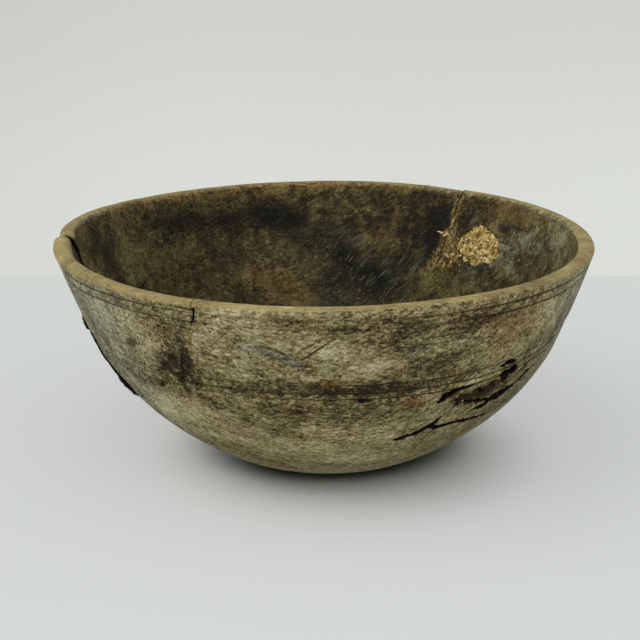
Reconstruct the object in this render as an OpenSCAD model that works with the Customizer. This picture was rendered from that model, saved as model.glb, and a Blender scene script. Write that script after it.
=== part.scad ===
// Cracked wooden bowl, turned from one piece of wood and split by age.
// The origin is the centre of the foot, on the ground. +Z is up and -Y is the front.
// Places on the wall are given as an azimuth in degrees, anticlockwise from +X seen
// from above, and as a share of the bowl's height.

/* [Bowl] */
// Outer diameter at the rim
rim_d = 300; // [240:1:370]
// Height from the ground to the top of the rim
bowl_h = 121; // [98:1:148]
// Diameter of the flat foot
foot_d = 118; // [95:1:145]
// Outer diameter at the shoulder, where the wall turns in towards the foot
shoulder_d = 258; // [220:1:310]
// Height of the shoulder
shoulder_h = 64; // [52:1:78]
// How far the wall below the shoulder swells from a straight line
belly = 7.5; // [5:0.5:10]
// How far the wall above the shoulder swells from a straight line
flare_swell = 0.7; // [0.2:0.1:3]

/* [Wall] */
// Thickness at the rim, measured level
rim_t = 9; // [7.5:0.5:11]
// Thickness at the shoulder, measured level
shoulder_t = 10.8; // [9:0.1:13]
// Thickness of the floor at its centre
floor_t = 11; // [9:0.5:14]
// Diameter of the shallow middle of the hollow
basin_d = 120; // [100:1:145]
// Rise of the hollow's shallow middle, from its centre to its edge
basin_rise = 6; // [4:0.5:8]
// Height of the rim's rounded top
rim_round = 3; // [1.5:0.5:3.5]

/* [Turned lines] */
// Width of a turned line
line_w = 1.6; // [1:0.1:2.4]
// Depth of a turned line
line_depth = 0.7; // [0.4:0.1:1.2]
// Height of the band of lines above the shoulder
band_h = 8.6; // [7:0.1:11]
// Space between the rim and the first line below it
rim_bead_h = 6.4; // [5:0.1:8]

/* [Sprung wedge] */
// Angle that the wedge of wall leans outward
lean = 1.8; // [1:0.1:2.4]
// Gap of the crack at the left side of the wedge
left_gap = 1.2; // [0.6:0.1:2.5]
// Gap of the crack at the right side of the wedge
right_gap = 0.5; // [0.3:0.1:1.5]

/* [Decay] */
// Diameter of a beetle's exit hole
worm_d = 1.6; // [1.2:0.1:2.4]
// Depth of the torn patch inside
patch_depth = 2.2; // [1:0.1:3.5]
// Depth of the rotted pocket outside
pocket_depth = 3; // [1:0.1:4.5]

/* [Hidden] */

rim_r = rim_d / 2;
foot_r = foot_d / 2;
shoulder_r = shoulder_d / 2;
hollow_r = shoulder_r - shoulder_t;
basin_r = basin_d / 2;
basin_z = floor_t + basin_rise;
round_z = bowl_h - rim_round;     // where the rim's rounded top begins
clear = 1;                        // how far a cutter stands proud of the wood
joint_step = [0.2, 0.4];          // from the end of one arc to the start of the next

// Points of an arc from p to q that swells by bulge to its right
function arc_points(p, q, bulge, steps) =
    let (chord = norm(q - p), half = 2 * atan(2 * bulge / chord), r = chord / 2 / sin(half),
         along = (q - p) / chord, side = [along[1], -along[0]],
         centre = (p + q) / 2 - side * r * cos(half))
    [for (i = [0 : steps]) let (a = half * (2 * i / steps - 1))
        centre + r * (cos(a) * side + sin(a) * along)];

outer_curve = concat(
    arc_points([foot_r, 0], [shoulder_r, shoulder_h], belly, 14),
    arc_points([shoulder_r, shoulder_h] + joint_step, [rim_r, round_z], flare_swell, 6));
inner_curve = concat(
    arc_points([0, floor_t], [basin_r, basin_z], basin_rise / 5, 4),
    arc_points([basin_r, basin_z] + joint_step, [hollow_r, shoulder_h], belly, 14),
    arc_points([hollow_r, shoulder_h] + joint_step, [rim_r - rim_t, round_z], flare_swell, 6));
// The rim's rounded top, from its outer edge to its inner edge
rim_curve = [for (a = [30 : 30 : 150])
    [rim_r - rim_t / 2 + rim_t / 2 * cos(a), round_z + rim_round * sin(a)]];

function reversed(list) = [for (i = [len(list) - 1 : -1 : 0]) list[i]];
// Radius of a curve at a height
function radius_at(curve, z) = lookup(z, [for (p = curve) [p[1], p[0]]]);
// Slope of a curve at a height, in degrees from level
function slope_at(curve, z) = atan2(4, radius_at(curve, z + 2) - radius_at(curve, z - 2));
// Direction out of the bowl, square to the wall
function out_of(curve, az, z) = let (s = slope_at(curve, z)) [sin(s) * cos(az), sin(s) * sin(az), -cos(s)];
// Point of the wall
function on_wall(curve, az, z) = let (r = radius_at(curve, z)) [r * cos(az), r * sin(az), z];

// Closed body swept through rings of points, all of the same count
module sweep(rings) {
    n = len(rings[0]);
    last = len(rings) - 1;
    polyhedron(
        points = [for (ring = rings) each ring],
        faces = concat(
            [[for (j = [n - 1 : -1 : 0]) j]],
            [for (i = [0 : last - 1], j = [0 : n - 1]) let (a = i * n + j, b = i * n + (j + 1) % n)
                each [[a, b, a + n], [b, b + n, a + n]]],
            [[for (j = [0 : n - 1]) last * n + j]]));
}

// Crack whose path runs along the wall. A path has rows of azimuth, share of height,
// width and depth, and side is 1 for a crack from outside and -1 for one from inside.
module crack(curve, side, path) {
    function at(i) = on_wall(curve, path[i][0], path[i][1] * bowl_h);
    function ring(i) =
        let (ahead = at(min(i + 1, len(path) - 1)) - at(max(i - 1, 0)),
             out = side * out_of(curve, path[i][0], path[i][1] * bowl_h),
             square = cross(out, ahead), across = square / norm(square),
             lip = at(i) + clear * out, root = at(i) - path[i][3] * out,
             half = path[i][2] / 2 * (1 + clear / path[i][3]))
        [lip - half * across, lip + half * across,
         root + path[i][2] / 5 * across, root - path[i][2] / 5 * across];
    sweep([for (i = [0 : len(path) - 1]) ring(i)]);
}

// Round pit of a depth in the wall. Its row holds azimuth, share of height and radius.
module pit(curve, side, row, depth) {
    z = row[1] * bowl_h;
    translate(on_wall(curve, row[0], z) + side * (row[2] - depth) * out_of(curve, row[0], z))
        sphere(r = row[2], $fn = 24);
}

// Round hole square to the outside. Its row holds azimuth, share of height, diameter and depth.
module bore(row) {
    z = row[1] * bowl_h;
    translate(on_wall(outer_curve, row[0], z))
        rotate([0, 180 - slope_at(outer_curve, z), row[0]])
            translate([0, 0, -row[3]]) cylinder(d = row[2], h = row[3] + 2 * clear, $fn = 24);
}

// ---- Turned shape ----

band_z = shoulder_h + 4;
line_heights = [band_z, band_z + 0.42 * band_h, band_z + band_h,
    bowl_h - 1.8 * rim_bead_h, bowl_h - rim_bead_h];

module turned_line(z) {
    translate([0, 0, z]) rotate_extrude($fn = 180)
        translate([radius_at(outer_curve, z), 0])
            polygon([[line_w, line_w], [-line_depth, 0], [line_w, -line_w]] / 2);
}

module turned_bowl() {
    difference() {
        rotate_extrude($fn = 180)
            polygon(concat([[0, 0]], outer_curve, rim_curve, reversed(inner_curve)));
        for (z = line_heights) turned_line(z);
    }
}

// ---- Wedge of wall that has sprung out between two cracks ----

// Rows of share of height, left azimuth and right azimuth, from above the rim to the tip
wedge_edge = [
    [1.08, 182.3, 244.4], [0.975, 182, 244.4], [0.967, 181.8, 245.1], [0.925, 181, 244.6],
    [0.91, 180.6, 243.9], [0.85, 182, 242.9], [0.785, 187, 240.7], [0.735, 191, 239.5],
    [0.69, 194, 238.2], [0.64, 195.6, 238.1], [0.59, 196, 235.5], [0.545, 197.2, 230.5],
    [0.517, 198.6, 227.4], [0.479, 200, 224.8], [0.446, 202, 222.7], [0.405, 205, 220.8]];
tip_share = 0.385;
tip_azimuths = [208, 218];
root_share = 0.35;                // the wedge is rooted in the wall down to here
lean_azimuth = 210;
pivot_share = 0.6;

// The wedge's room, with each edge moved out by a gap, down to a share of the height
module wedge_room(left, right, bottom) {
    function edge_ring(share, az_left, az_right) =
        let (per_mm = 180 / PI / radius_at(outer_curve, min(share, 1) * bowl_h),
             a = az_left - left * per_mm * min(share, 1), b = az_right + right * per_mm,
             near = 0.15 * rim_d, far = 0.8 * rim_d, z = share * bowl_h)
        [[near * cos(a), near * sin(a), z], [far * cos(a), far * sin(a), z],
         [far * cos(b), far * sin(b), z], [near * cos(b), near * sin(b), z]];
    sweep(concat([for (e = wedge_edge) edge_ring(e[0], e[1], e[2])],
        [edge_ring(bottom, tip_azimuths[0], tip_azimuths[1])]));
}

module sprung_wedge() {
    pivot = on_wall(outer_curve, lean_azimuth, pivot_share * bowl_h);
    translate(pivot) rotate([0, 0, lean_azimuth]) rotate([0, lean, 0])
        rotate([0, 0, -lean_azimuth]) translate(-pivot)
            intersection() {
                turned_bowl();
                wedge_room(0, 0, root_share);
            }
}

// ---- Cracks, decay and worn marks ----

// Long drying cracks low on the right
low_cracks = [
    [[289, 0.304, 0.5, 2], [290.8, 0.312, 1, 4], [292.8, 0.322, 1.2, 5], [295, 0.345, 1.5, 5.5],
     [297.8, 0.377, 1.4, 5.5], [298.7, 0.398, 1, 5], [299.4, 0.415, 0.4, 2]],
    [[297.2, 0.362, 0.9, 4], [299.6, 0.346, 1.2, 5], [303.3, 0.352, 1.5, 5.5], [305.8, 0.354, 1.2, 5.5],
     [309.4, 0.345, 1.6, 5.5], [314, 0.334, 1.2, 5], [319, 0.333, 0.9, 4], [322, 0.338, 0.4, 2]],
    [[307.9, 0.399, 0.5, 2], [310.2, 0.405, 1.2, 4], [312.5, 0.411, 1.6, 5.5], [314, 0.432, 2.6, 6],
     [317.8, 0.442, 2.4, 6], [321.2, 0.45, 1.6, 5.5], [322.6, 0.468, 1.2, 5], [323.4, 0.489, 1.4, 5],
     [325.6, 0.499, 1, 4], [328.6, 0.516, 0.4, 2]]];
// Short slots between the cracks and the shoulder
low_slots = [
    [[296.9, 0.508, 0.8, 3], [298, 0.525, 1.6, 5], [299.2, 0.54, 1.2, 4], [301.6, 0.539, 0.4, 2]],
    [[302, 0.553, 0.4, 2], [304, 0.561, 0.8, 3], [306.2, 0.566, 0.4, 2]],
    [[302.2, 0.446, 0.5, 2], [303, 0.468, 1, 3], [302.1, 0.488, 0.5, 2]],
    [[308.6, 0.452, 0.6, 3], [311.8, 0.442, 0.5, 2]],
    [[314.4, 0.592, 0.5, 2], [316, 0.602, 1, 4], [317.6, 0.606, 0.4, 2]]];
// Split through the far wall, seen from inside, narrowing down to the hollow's side
far_crack = [
    [52, 1.06, 1.6, 13], [52.2, 0.96, 1.1, 13], [52.9, 0.93, 1.2, 13], [52.2, 0.885, 0.8, 13],
    [52.1, 0.855, 1, 10], [52.4, 0.82, 0.8, 7], [54.2, 0.79, 0.7, 4], [54.6, 0.68, 0.6, 3],
    [55.7, 0.6, 0.6, 2], [57, 0.57, 0.3, 1]];
// Incised marks of an old zigzag border, and worn strokes
marks = [
    [[265.8, 0.765, 0.8, 0.8], [269, 0.82, 1, 0.8], [272.2, 0.868, 0.6, 0.6]],
    [[257.3, 0.835, 1.6, 0.5], [261.5, 0.79, 2.2, 0.6], [265.3, 0.74, 1.6, 0.5]],
    [[252.2, 0.9, 0.8, 0.6], [248, 0.843, 1, 0.6], [242.6, 0.73, 0.8, 0.5]],
    [[277.5, 0.848, 0.8, 0.5], [286.3, 0.835, 1, 0.6]],
    [[289.1, 0.843, 0.8, 0.6], [300.9, 0.85, 0.8, 0.5]],
    [[293.9, 0.744, 0.8, 0.5], [301.2, 0.757, 1, 0.6]]];
hatch_count = 5;
hatch_pitch = 0.9;                // degrees between hatch strokes

// Torn and eaten patch on the hollow's side
patch = [[46.6, 0.71, 12], [42.6, 0.7, 12], [38.8, 0.74, 12],
         [47.4, 0.775, 11], [43.4, 0.785, 12], [39.6, 0.81, 11]];
// Rotted pocket between the low cracks
pocket = [[303.5, 0.505, 5], [307.4, 0.515, 6], [311.4, 0.523, 6], [315, 0.53, 5]];
// Rotted place where the wedge's right crack turns
decay = [[236.2, 0.7, 4.5], [233.4, 0.655, 5], [236.4, 0.61, 5], [232.6, 0.585, 4], [237, 0.545, 3.5]];
decay_depth = 1.8;
knots = [[264, 0.5, 2.6], [270.2, 0.557, 2.4], [277.7, 0.555, 2.8], [272.6, 0.365, 2]];
knot_depth = 1;
rim_chips = [[16.5, 0.962, 2.4], [265, 0.95, 2.4], [52.6, 0.985, 2.6]];
// Holes through the rotten wood, then beetles' exit holes
rot_holes = [[316.6, 0.553, 4.6, 7], [318.8, 0.556, 3.6, 6]];
worm_holes = [for (p = [[231.4, 0.67], [229.9, 0.61], [234.6, 0.565], [238.8, 0.635], [234, 0.52],
        [258, 0.48], [291.5, 0.575], [305.2, 0.62], [281, 0.3]])
    [p[0], p[1], worm_d, 6]];

module cracks() {
    for (path = concat(low_cracks, low_slots)) crack(outer_curve, 1, path);
    crack(inner_curve, -1, far_crack);
}

module worn_marks() {
    for (path = marks) crack(outer_curve, 1, path);
    for (i = [0 : hatch_count - 1]) let (az = 264.4 + i * hatch_pitch, share = 0.795 + 0.011 * i)
        crack(outer_curve, 1, [[az, share, 0.5, 0.5], [az + 2, share + 0.036, 0.4, 0.4]]);
}

module pits_and_holes() {
    for (row = patch) pit(inner_curve, -1, row, patch_depth);
    for (row = pocket) pit(outer_curve, 1, row, pocket_depth);
    for (row = decay) pit(outer_curve, 1, row, decay_depth);
    for (row = knots) pit(outer_curve, 1, row, knot_depth);
    for (row = rim_chips) pit(outer_curve, 1, row, knot_depth);
    for (row = concat(rot_holes, worm_holes)) bore(row);
}

module bowl() {
    color("darkkhaki") difference() {
        union() {
            difference() {
                turned_bowl();
                wedge_room(left_gap, right_gap, tip_share);
            }
            sprung_wedge();
        }
        cracks();
        worn_marks();
        pits_and_holes();
    }
}

bowl();
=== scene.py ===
import math
import bmesh
import bpy
import numpy as np
from mathutils import Matrix, Vector


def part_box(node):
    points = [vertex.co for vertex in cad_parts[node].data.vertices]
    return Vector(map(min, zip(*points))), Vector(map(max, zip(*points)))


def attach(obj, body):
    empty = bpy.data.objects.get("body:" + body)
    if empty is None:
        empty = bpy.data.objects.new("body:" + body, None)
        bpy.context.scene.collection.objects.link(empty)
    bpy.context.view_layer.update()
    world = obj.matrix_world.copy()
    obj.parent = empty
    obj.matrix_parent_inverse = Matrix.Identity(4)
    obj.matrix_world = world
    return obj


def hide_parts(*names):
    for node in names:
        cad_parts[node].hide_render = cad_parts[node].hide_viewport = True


# The looks of the cracked wooden bowl. Shapes are worked out in millimetres, in the
# CAD frame, and turned into metres when a mesh is made. A place on the wall is an
# azimuth in degrees, anticlockwise from +X seen from above, and a height.

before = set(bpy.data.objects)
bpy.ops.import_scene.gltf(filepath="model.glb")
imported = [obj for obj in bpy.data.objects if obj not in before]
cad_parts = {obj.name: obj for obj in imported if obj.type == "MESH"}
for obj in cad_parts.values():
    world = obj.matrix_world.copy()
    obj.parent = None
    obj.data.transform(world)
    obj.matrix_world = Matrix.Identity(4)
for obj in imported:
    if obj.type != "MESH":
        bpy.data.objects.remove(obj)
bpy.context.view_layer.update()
MM = 0.001
RNG = np.random.default_rng(7)

# ---- Sizes, as the construction has them ----

LOW, HIGH = (np.array(corner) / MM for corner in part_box("bowl"))
RIM_R = (HIGH[1] - LOW[1]) / 2
WEDGE_RISE = 0.4                  # the sprung wedge stands this much over the rim
HEIGHT = HIGH[2] - WEDGE_RISE
FOOT_R = 59.0
SHOULDER = (129.0, 64.0)          # radius and height where the wall turns in
HOLLOW_R = 118.2
BASIN = (60.0, 17.0)
FLOOR_T = 11.0
RIM_T = 9.0
RIM_ROUND = 3.0
BELLY = 7.5
FLARE = 0.7
LINE_W = 1.7
BAND_LINES = (68.0, 71.7, 76.6)   # heights of the turned lines
RIM_LINES = (HEIGHT - 11.6, HEIGHT - 6.4)

WALL_R = 130.0                    # the wall's radius, roughly
WEDGE_LEAN = 1.5                  # degrees
PIVOT_SHARE = 0.6                 # the wedge leans about this share of the height
LEDGE_FADE = 9.0                  # depth below the band over which its ledge fades
RAW_DEPTH = 4.0                   # wood laid bare this deep counts as fully broken; near-black painted shade fills the cuts from a fifth of it

# ---- Noise ----


def lattice(cell, seed):
    """A number from 0 to 1 for each cell of a grid."""
    n = cell[..., 0] * 374761393 + cell[..., 1] * 668265263 + cell[..., 2] * 2147483647 + seed * 974634777
    n = (n ^ (n >> 13)) * 1274126177
    n = n ^ (n >> 16)
    return (n & 0xFFFFFF) / 0xFFFFFF


def noise(points, scale, seed=0, octaves=1):
    """Smooth noise from -1 to 1. A feature is about as large as scale, in millimetres."""
    total, weight, power = 0.0, 0.0, 1.0
    for octave in range(octaves):
        p = np.asarray(points, float) / scale * 2**octave + 31.7 * octave
        cell = np.floor(p).astype(np.int64)
        t = p - cell
        t = t * t * (3 - 2 * t)
        value = 0.0
        for corner in np.ndindex(2, 2, 2):
            share = np.prod(np.where(corner, t, 1 - t), axis=-1)
            value = value + share * lattice(cell + corner, seed + octave)
        total, weight, power = total + power * (2 * value - 1), weight + power, power / 2
    return total / weight


def on_line(values):
    """Points along one line, to read noise at."""
    return np.stack([values, 0 * values, 0 * values], -1)


def smooth(low, high, value):
    """0 at low and 1 at high, with a soft step between them."""
    t = np.clip((value - low) / (high - low), 0, 1)
    return t * t * (3 - 2 * t)


# ---- The turned profile ----


def arc(p, q, swell, steps):
    """Points of an arc from p to q that swells to its right."""
    p, q = np.array(p, float), np.array(q, float)
    chord = np.linalg.norm(q - p)
    half = 2 * math.atan(2 * swell / chord)
    radius = chord / 2 / math.sin(half)
    along = (q - p) / chord
    side = np.array([along[1], -along[0]])
    centre = (p + q) / 2 - side * radius * math.cos(half)
    turn = np.linspace(-half, half, steps + 1)[:, None]
    return centre + radius * (np.cos(turn) * side + np.sin(turn) * along)


def with_lines(curve, heights):
    """The curve with a row at each turned line and one on each side of it."""
    rows = [z + step for z in heights for step in (-LINE_W / 2, 0, LINE_W / 2)]
    kept = [p for p in curve if all(abs(p[1] - z) > 0.9 * LINE_W for z in heights)]
    added = [(np.interp(z, curve[:, 1], curve[:, 0]), z) for z in rows]
    return np.array(sorted([tuple(p) for p in kept] + added, key=lambda p: p[1]))


ROUND_Z = HEIGHT - RIM_ROUND
OUTER = np.vstack([
    arc((FOOT_R, 0), SHOULDER, BELLY, 56),
    with_lines(arc(SHOULDER, (RIM_R, ROUND_Z), FLARE, 34)[1:], BAND_LINES + RIM_LINES)])
RIM = np.array([
    (RIM_R - RIM_T / 2 * (1 - math.cos(a)), ROUND_Z + RIM_ROUND * math.sin(a))
    for a in np.radians(np.linspace(0, 180, 13))[1:-1]])
INNER = np.vstack([
    arc((0, FLOOR_T), BASIN, 1.2, 8),
    arc(BASIN, (HOLLOW_R, SHOULDER[1]), BELLY, 34)[1:],
    arc((HOLLOW_R, SHOULDER[1]), (RIM_R - RIM_T, ROUND_Z), FLARE, 30)[1:]])
FOOT = np.array([(r, 0.0) for r in (0, 14, 28, 42, 52)])
PROFILE = np.vstack([FOOT, OUTER, RIM, INNER[::-1]])
# How far along the profile each of its points lies
STATION = np.concatenate([[0], np.cumsum(np.linalg.norm(np.diff(PROFILE, axis=0), axis=1))])
OUTER_END = STATION[len(FOOT) + len(OUTER) - 1]
INNER_START = STATION[len(FOOT) + len(OUTER) + len(RIM)]


def radius_at(curve, z):
    return np.interp(z, curve[:, 1], curve[:, 0])


def polar(r, azimuth, z):
    """Points at a radius, an azimuth in degrees and a height."""
    turn = np.radians(azimuth)
    return np.stack([r * np.cos(turn), r * np.sin(turn), z + 0 * turn], -1)


def wall_frame(curve, side, azimuth, z):
    """Point, direction out of the wood, level direction and upward direction on a wall."""
    rise = radius_at(curve, z + 2) - radius_at(curve, z - 2)
    slope = np.arctan2(4, rise)
    a = np.radians(azimuth)
    ca, sa, cs, ss = np.cos(a), np.sin(a), np.cos(slope), np.sin(slope)
    r = radius_at(curve, z)
    point = np.stack([r * ca, r * sa, z + 0 * r], -1)
    out = side * np.stack([ss * ca, ss * sa, -cs + 0 * a], -1)
    level = np.stack([-sa, ca, 0 * a + 0 * z], -1)
    up = np.stack([cs * ca, cs * sa, ss + 0 * a], -1)
    return point, out, level, up


# ---- Mesh helpers ----


def mesh_object(name, vertices, faces):
    """An object from points in millimetres."""
    mesh = bpy.data.meshes.new(name)
    mesh.from_pydata((np.asarray(vertices) * MM).tolist(), [], faces)
    mesh.update()
    made = bpy.data.objects.new(name, mesh)
    bpy.context.scene.collection.objects.link(made)
    return made


def outward(body):
    """The body with its faces turned outward."""
    shape = bmesh.new()
    shape.from_mesh(body.data)
    if shape.calc_volume(signed=True) < 0:
        bmesh.ops.reverse_faces(shape, faces=shape.faces)
    shape.to_mesh(body.data)
    shape.free()
    return body


def tube_faces(count, around, first=0):
    """Faces of a closed tube through a count of rings, from its first point on."""
    faces = [tuple(range(first, first + around))[::-1]]
    for i in range(count - 1):
        for j in range(around):
            a, b = first + i * around + j, first + i * around + (j + 1) % around
            faces.append((a, b, b + around, a + around))
    last = first + (count - 1) * around
    faces.append(tuple(range(last, last + around)))
    return faces


def loft(name, rings):
    """A closed body through rings of points."""
    rings = np.asarray(rings)
    return outward(mesh_object(name, rings.reshape(-1, 3), tube_faces(*rings.shape[:2])))


def along_path(path, step):
    """Rows of a path at even steps, with the last one kept."""
    path = np.array(path, float)
    mid_r = radius_at(OUTER, path[:, 1].mean())
    flat = np.stack([np.radians(path[:, 0]) * mid_r, path[:, 1] * 1.2], -1)
    run = np.concatenate([[0], np.cumsum(np.linalg.norm(np.diff(flat, axis=0), axis=1))])
    at = np.linspace(0, run[-1], max(3, int(run[-1] / step) + 1))
    return np.stack([np.interp(at, run, column) for column in path.T], -1), at


def crack(path, curve=OUTER, side=1, seed=1, jag=0.3, step=0.8):
    """Cutter for a ragged crack. Its path has rows of azimuth, height, width and depth."""
    rows, at = along_path(path, step)
    point, out = wall_frame(curve, side, rows[:, 0], rows[:, 1])[:2]
    ahead = np.gradient(point, axis=0)
    across = np.cross(out, ahead)
    across /= np.linalg.norm(across, axis=1)[:, None]
    line = on_line(at)
    fade = np.minimum(1, np.minimum(at, at[-1] - at) / 2)[:, None]
    point = point + across * jag * fade * noise(line, 2.2, seed, 2)[:, None]
    half, depth = rows[:, 2:3] / 2, rows[:, 3:4]
    left = half * (1 + 0.45 * noise(line, 1.7, seed + 10, 2)[:, None])
    right = half * (1 + 0.45 * noise(line, 1.7, seed + 20, 2)[:, None])
    shift = jag * fade * noise(line, 3, seed + 30)[:, None]
    levels = [(1.0, 1.25), (-0.05 * depth, 1.0), (-0.5 * depth, 0.7), (-depth, 0.25)]
    left_side = [point + out * h + across * (shift * (h < 0) - left * w) for h, w in levels]
    right_side = [point + out * h + across * (shift * (h < 0) + right * w) for h, w in levels]
    return loft("crack", np.stack(left_side + right_side[::-1], 1))


def blob(azimuth, z, wide, tall, depth, curve=OUTER, side=1, seed=1, rough=0.25):
    """Cutter for a lumpy pit, from its level width, upward width and depth."""
    point, out, level, up = wall_frame(curve, side, float(azimuth), float(z))
    shape = bmesh.new()
    bmesh.ops.create_icosphere(shape, subdivisions=3, radius=1)
    v = np.array([p.co for p in shape.verts])
    faces = [tuple(p.index for p in f.verts) for f in shape.faces]
    shape.free()
    v = v * (1 + rough * noise(v * 10 + 77 * seed, 7, seed, 2)[:, None])
    reach = 1.0 + depth
    place = point + out * (reach - depth)
    body = place + v[:, :1] * level * wide / 2 + v[:, 1:2] * up * tall / 2 + v[:, 2:] * out * reach
    return outward(mesh_object("pit", body, faces))


def bore(azimuth, z, width, depth, curve=OUTER, side=1):
    """Cutter for a small round hole."""
    point, out, level, up = wall_frame(curve, side, float(azimuth), float(z))
    turn = np.linspace(0, 2 * math.pi, 13)[:-1, None]
    ring = (np.cos(turn) * level + np.sin(turn) * up) * width / 2
    rings = [point + out * h + ring * w for h, w in ((1, 1.1), (-0.3, 1), (-depth, 0.8))]
    return loft("hole", rings)


# ---- The two long cracks that free the wedge ----

# Rows of height, left azimuth and right azimuth
WEDGE = np.array([
    (46.0, 208.5, 219.5), (49, 206.4, 220.8), (54, 203.4, 222.7), (58, 201.6, 224.8),
    (62.5, 200, 227.4), (66, 199, 230.5), (71.4, 198, 235.5), (77.4, 197.2, 238.1), (81, 197, 238.2),
    (84, 193.5, 238.6), (88, 190.5, 239.2), (95, 187, 240.7), (103, 182.6, 242.9), (110, 180.8, 243.9),
    (112, 181, 244.6), (117, 181.8, 245.1), (118.1, 182.1, 244.4), (126, 182.3, 244.4)])
TIP_Z = WEDGE[0][0]


def wedge_edge(z, column, seed):
    """Azimuth of the wedge's left or right edge, with its ragged line."""
    z = np.asarray(z, float)
    ragged = 0.55 * noise(on_line(z), 3.5, seed, 2) * smooth(TIP_Z, TIP_Z + 6, z) * smooth(122, 112, z)
    return np.interp(z, WEDGE[:, 0], WEDGE[:, column]) + np.degrees(ragged / WALL_R)


def curtain(column, seed, widths):
    """Cutter right through the wall along one edge of the wedge, for the heights of its widths."""
    z = np.arange(widths[0][0], widths[-1][0] + 0.4, 0.8)
    azimuth = wedge_edge(z, column, seed)
    width = np.interp(z, *zip(*widths))
    line = on_line(z)
    rings = []
    for k, reach in enumerate((-30, -11, -8, -5, -2.5, 4)):
        wander = 0.3 * width * noise(line + 9 * k, 2.5, seed + k, 2) if -11 < reach < 0 else 0 * z
        r = radius_at(OUTER, z) + reach
        for flank in (-1, 1):
            spread = flank * width / 2 * (1 + 0.4 * noise(line + 5 * flank, 1.8, seed + 7 * k, 2)) + wander
            a = np.radians(azimuth) + spread / r
            rings.append((flank, np.stack([r * np.cos(a), r * np.sin(a), z], -1)))
    one = [ring for flank, ring in rings if flank < 0]
    other = [ring for flank, ring in rings if flank > 0][::-1]
    return loft("curtain", np.stack(one + other, 1))


# ---- Cracks, decay and marks, as the construction places them ----
# A crack or mark is a path, with rows of azimuth, height, width and depth.

LOW_CRACKS = [
    [(288, 36.4, 2, 4), (289.6, 37.2, 4.6, 6), (292.8, 39, 5, 7), (295, 41.7, 5.2, 7), (297.8, 45.6, 4.4, 7),
     (298.7, 48.2, 3.2, 6), (299.8, 51, 0.8, 2)],
    [(296.8, 43.8, 3, 5), (299.6, 41.9, 4.2, 7), (303.3, 42.6, 4.4, 7), (305.8, 42.8, 3.2, 7),
     (309.4, 41.7, 4, 7), (314, 40.4, 3.4, 6), (319, 40.3, 2.6, 5), (322.8, 41, 0.6, 2)],
    [(307.4, 48.2, 1.2, 3), (309.6, 48.9, 3.6, 6), (312.5, 49.7, 5, 7), (314.4, 52.3, 7.4, 8),
     (317.8, 53.8, 7.6, 8), (321.2, 55.6, 5.2, 7), (322.6, 57.6, 4, 7), (324, 60, 4.4, 6),
     (326.4, 62, 3.2, 5), (329.6, 64.6, 0.8, 2)]]
SLOTS = [
    [(296.3, 60.6, 3.4, 6), (297.8, 63.4, 6.4, 7), (299.6, 65.4, 5.4, 7), (301.6, 66.2, 4, 7),
     (304.2, 67.6, 2.8, 6), (306.9, 68.9, 0.6, 2)],
    [(301.6, 55, 2, 4), (302.4, 57.6, 4.2, 6), (302.4, 60.4, 3.6, 6), (302, 64, 1.6, 4)],
    [(304.4, 56.4, 2.4, 4), (307.6, 55.2, 4.4, 6), (311, 54.4, 3.6, 5), (314.6, 53.6, 1.2, 3)],
    [(311.6, 74.2, 2, 4), (314, 75, 3.8, 6), (317.2, 73.6, 1.6, 4)],
    [(318.4, 62.4, 0.8, 3), (321.6, 66, 2.2, 6), (325.4, 69.6, 0.6, 3)]]
HAIRLINES = [
    [(239.8, 117.2, 0.4, 1.5), (242.2, 117.4, 0.8, 2.5), (245, 117, 0.9, 3)],
    [(245, 110.6, 0.8, 3), (243.8, 109.6, 0.8, 2.5), (242.6, 109.8, 0.4, 1.5)],
    [(220.6, 49.5, 0.5, 2), (218.6, 46.9, 0.6, 2), (216.4, 47.5, 0.5, 2), (213, 46.6, 0.6, 2),
     (208, 46.2, 0.6, 3)],
    [(279, 79, 0.3, 0.6), (286, 78.2, 0.4, 0.8), (292, 77.6, 0.3, 0.6)],
    [(262, 55, 0.3, 0.5), (266, 56.4, 0.5, 0.8), (269, 57, 0.3, 0.5)]]
FAR_CRACK = [
    (52, 127, 1.6, 13), (52.2, 116.2, 1.1, 13), (52.9, 112.5, 1.3, 13), (52.2, 107, 0.9, 13),
    (52.1, 103.5, 1.1, 10), (52.4, 99, 0.9, 7), (54.2, 95.6, 0.8, 4), (54.6, 82.3, 0.7, 3),
    (55.7, 72.6, 0.6, 2), (57, 69, 0.3, 1)]
MARKS = [
    [(265.8, 92.6, 0.9, 0.7), (269, 99.2, 1.3, 0.9), (272.2, 105, 0.7, 0.5)],
    [(256.6, 101.6, 2.6, 0.3), (261.5, 96.2, 4.2, 0.5), (265.6, 90.2, 2.4, 0.3)],
    [(252.9, 110.2, 0.9, 0.35), (249.9, 103.3, 1.2, 0.45), (247.2, 97, 0.7, 0.3)],
    [(277.5, 102.6, 0.7, 0.5), (286.3, 101, 0.9, 0.6)],
    [(289.1, 102, 0.7, 0.6), (300.9, 102.8, 0.7, 0.5)],
    [(293.9, 90, 0.7, 0.5), (301.2, 91.6, 0.9, 0.6)]]
HATCH_COUNT = 6                   # fine short strokes in a row
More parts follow.
